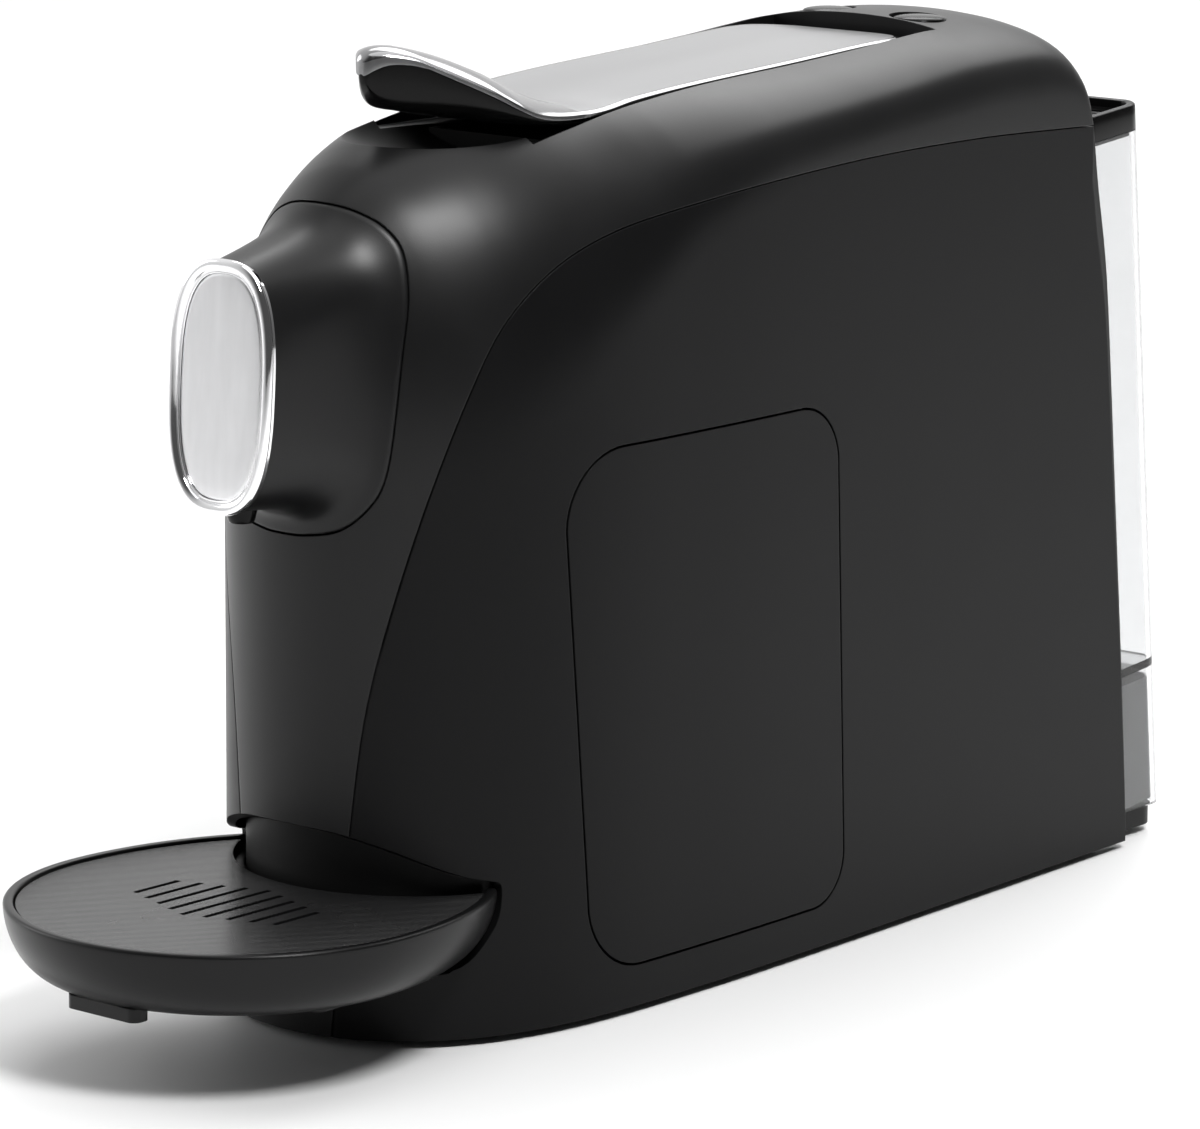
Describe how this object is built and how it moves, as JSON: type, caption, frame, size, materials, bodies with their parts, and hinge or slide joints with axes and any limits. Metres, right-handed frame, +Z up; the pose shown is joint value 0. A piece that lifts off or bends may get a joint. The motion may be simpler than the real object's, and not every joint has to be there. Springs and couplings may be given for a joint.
{
  "type": "pod coffee machine",
  "caption": "Slim pod coffee machine with a lifting lever, brew head over a cantilevered round drip tray, side pod drawer, top buttons and rear lift-off tank.",
  "frame": {"origin": "on the table at the middle of the bounding box", "axes": "+Z up, front and spout towards -Y, tank at +Y, +X is the side with the pod drawer"},
  "size_m": [0.117, 0.409, 0.2499],
  "materials": {
    "shell_black": "satin moulded",
    "side_black": "satin moulded",
    "dark_plastic": "moulded",
    "gloss_black": "gloss",
    "tray_black": "satin moulded",
    "grille_black": "fine ribbed texture",
    "badge_chrome": "polished",
    "badge_satin": "satin",
    "lever_metal": "satin top with polished tip",
    "steel": "brushed",
    "cast_metal": "cast",
    "nylon": "natural",
    "rubber_grey": "matte",
    "seal_red": "matte",
    "clear_tank": "clear",
    "dock_grey": "moulded",
    "board_green": "solder mask",
    "coil_black": "moulded",
    "silicone": "translucent"
  },
  "bodies": {
    "machine": {"base_frame": "dark_plastic", "central_shell": "shell_black", "front_skirt": "shell_black", "side_panel_right": "side_black", "side_panel_left": "side_black", "rear_panel": "dark_plastic", "tray_recess": "dark_plastic", "head_cover": "shell_black", "badge_bezel": "badge_chrome", "badge_plate": "badge_satin", "spout_nozzle": "gloss_black", "coffee_duct": "dark_plastic", "tray_bracket": "dark_plastic", "drawer_catch": "steel", "lever_pin": "steel", "idler_pin": "steel", "brew_frame": "dark_plastic", "rod_guide": "dark_plastic", "brew_chamber": "dark_plastic", "pierce_plate": "steel", "pod_chute": "dark_plastic", "dome_left": "silicone", "dome_right": "silicone", "control_board": "board_green", "button_switches": "coil_black", "tank_dock": "dock_grey", "tank_shelf": "dark_plastic", "rubber_feet": "rubber_grey", "pump_body": "nylon", "pump_coil": "coil_black", "pump_mounts": "rubber_grey", "boiler": "cast_metal", "boiler_bracket": "steel", "thermostats": "steel", "flow_meter": "nylon", "suction_hose": "silicone", "pressure_hose": "nylon", "cord_gland": "rubber_grey", "panel_screws": "steel", "frame_screws": "steel"},
    "tray": {"drip_tray": "tray_black", "drip_grille": "grille_black"},
    "drawer": {"pod_drawer": "dark_plastic", "drawer_front": "side_black", "drawer_grid": "dark_plastic"},
    "lever": {"lever_body": "gloss_black", "lever_plate": "lever_metal", "lever_sector": "cast_metal"},
    "idler": {"idler_gear": "nylon"},
    "piston": {"brew_piston": "cast_metal", "piston_seal": "seal_red"},
    "left_button": {"button_left": "gloss_black"},
    "right_button": {"button_right": "gloss_black"},
    "tank": {"water_tank": "clear_tank", "tank_collar": "dark_plastic", "valve_body": "dark_plastic", "valve_spring": "steel"},
    "flap": {"tank_flap": "dark_plastic"},
    "poppet": {"valve_poppet": "nylon"}
  },
  "joints": [
    {"name": "lever_hinge", "type": "hinge", "parent": "machine", "child": "lever", "pos_m": [0, 0.092, 0.231], "axis": [-1, 0, 0], "range_deg": [0, 75]},
    {"name": "idler_spin", "type": "hinge", "parent": "machine", "child": "idler", "pos_m": [0, 0.092, 0.19575], "axis": [-1, 0, 0], "range_deg": [-220, 0]},
    {"name": "piston_slide", "type": "slide", "parent": "machine", "child": "piston", "axis": [0, 1, 0], "range_m": [0, 0.0346]},
    {"name": "drawer_slide", "type": "slide", "parent": "machine", "child": "drawer", "axis": [1, 0, 0], "range_m": [0, 0.085]},
    {"name": "tray_pull", "type": "slide", "parent": "machine", "child": "tray", "axis": [0, -1, 0], "range_m": [0, 0.1]},
    {"name": "left_button_press", "type": "slide", "parent": "machine", "child": "left_button", "axis": [0, 0, -1], "range_m": [0, 0.0015], "stiffness_N_per_m": 300, "springref_m": -0.002, "deforming": ["dome_left"]},
    {"name": "right_button_press", "type": "slide", "parent": "machine", "child": "right_button", "axis": [0, 0, -1], "range_m": [0, 0.0015], "stiffness_N_per_m": 300, "springref_m": -0.002, "deforming": ["dome_right"]},
    {"name": "tank_lift", "type": "slide", "parent": "machine", "child": "tank", "axis": [0, -0.0932, 0.9956], "range_m": [0, 0.22]},
    {"name": "flap_hinge", "type": "hinge", "parent": "tank", "child": "flap", "pos_m": [0, 0.17705, 0.20992], "axis": [-1, 0, 0], "range_deg": [0, 100]},
    {"name": "valve_lift", "type": "slide", "parent": "tank", "child": "poppet", "axis": [0, -0.0932, 0.9956], "range_m": [0, 0.0025], "stiffness_N_per_m": 80, "springref_m": -0.004, "deforming": ["valve_spring"]}
  ],
  "couplings": [
    {"joint": "idler_spin", "follows": "lever_hinge", "ratio": -2.9167},
    {"joint": "piston_slide", "follows": "lever_hinge", "m_per_rad": 0.02625}
  ]
}
